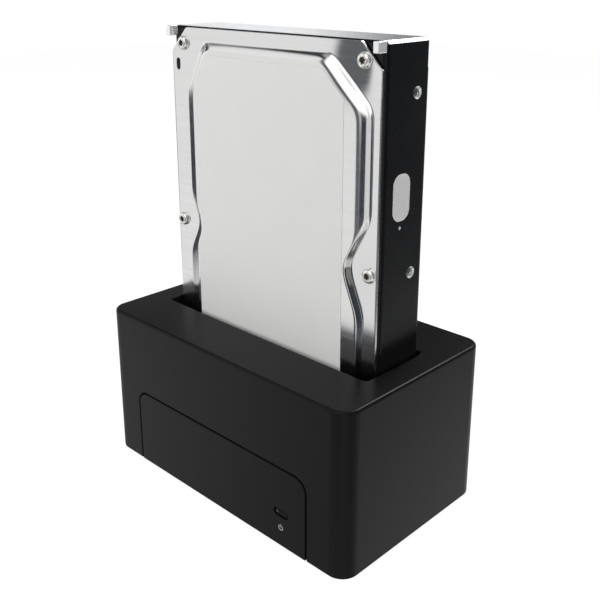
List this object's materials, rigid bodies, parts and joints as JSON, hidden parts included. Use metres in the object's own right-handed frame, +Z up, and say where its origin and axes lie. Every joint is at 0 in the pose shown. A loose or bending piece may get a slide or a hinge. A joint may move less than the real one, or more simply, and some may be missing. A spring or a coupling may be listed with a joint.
{
  "type": "hard drive docking station",
  "caption": "Desktop docking station for a hard drive: a black box housing with a slot in its roof, a front power button and rear ports, holding an upright drive that lifts out.",
  "frame": {"origin": "on the table under the middle of the housing", "axes": "+Z up, +X to the right seen from the front, +Y from the front panel to the rear ports"},
  "size_m": [0.125, 0.075, 0.1705],
  "materials": {
    "shell_plastic": "fine moulded grain, satin black",
    "panel_plastic": "fine moulded grain, satin black",
    "button_plastic": "smooth black",
    "foot_rubber": "matt black rubber",
    "screw_steel": "nickel-plated steel",
    "port_steel": "tin-plated steel",
    "port_blue": "moulded blue plastic",
    "contact_gold": "gold flash",
    "board_laminate": "green solder mask",
    "connector_plastic": "moulded black plastic",
    "chip_plastic": "matt black moulding",
    "can_aluminium": "satin aluminium",
    "clear_lens": "clear plastic",
    "casting_black": "black coated casting with bare machined lugs",
    "cover_steel": "pressed bright sheet",
    "gasket_rubber": "black foam rubber",
    "label_film": "blank light grey film",
    "seal_foil": "grey foil sticker",
    "disc_mirror": "polished disc",
    "coil_copper": "enamelled copper wire"
  },
  "bodies": {
    "dock": {"top_shell": "shell_plastic", "drive_well": "shell_plastic", "front_panel": "panel_plastic", "base_plate": "shell_plastic", "base_screws": "screw_steel", "rubber_feet": "foot_rubber", "main_board": "board_laminate", "board_screws": "screw_steel", "well_screws": "screw_steel", "sata_receptacle": "connector_plastic", "sata_contacts": "contact_gold", "usb_shell": "port_steel", "usb_tongue": "port_blue", "usb_contacts": "contact_gold", "power_inlet": "connector_plastic", "inlet_pin": "port_steel", "bridge_chip": "chip_plastic", "regulator_chip": "chip_plastic", "power_inductor": "chip_plastic", "filter_capacitors": "can_aluminium", "clock_crystal": "port_steel", "status_led": "clear_lens", "tact_switch": "chip_plastic"},
    "power_button": {"button_cap": "button_plastic", "button_lens": "clear_lens", "switch_plunger": "chip_plastic"},
    "drive": {"drive_casting": "casting_black", "drive_cover": "cover_steel", "cover_gasket": "gasket_rubber", "cover_screws": "screw_steel", "drive_label": "label_film", "side_seal": "seal_foil", "drive_board": "board_laminate", "drive_board_screws": "screw_steel", "drive_plug": "connector_plastic", "plug_contacts": "contact_gold", "spindle_motor": "screw_steel", "pivot_post": "screw_steel", "magnet_yokes": "port_steel"},
    "spindle": {"spindle_hub": "can_aluminium", "discs": "disc_mirror", "disc_spacers": "can_aluminium", "disc_clamp": "screw_steel"},
    "actuator": {"actuator_arm": "can_aluminium", "voice_coil": "coil_copper"}
  },
  "joints": [
    {"name": "power_button_press", "type": "slide", "parent": "dock", "child": "power_button", "axis": [0, 1, 0], "range_m": [0, 0.0005], "stiffness_N_per_m": 600, "springref_m": -0.0004},
    {"name": "drive_lift", "type": "slide", "parent": "dock", "child": "drive", "axis": [0, 0, 1], "range_m": [0, 0.045]},
    {"name": "spindle_spin", "type": "hinge", "parent": "drive", "child": "spindle", "pos_m": [0, 0, 0.1195], "axis": [0, 1, 0], "continuous": true},
    {"name": "actuator_swing", "type": "hinge", "parent": "drive", "child": "actuator", "pos_m": [0.014, 0, 0.0635], "axis": [0, 1, 0], "range_deg": [0, 28]}
  ]
}
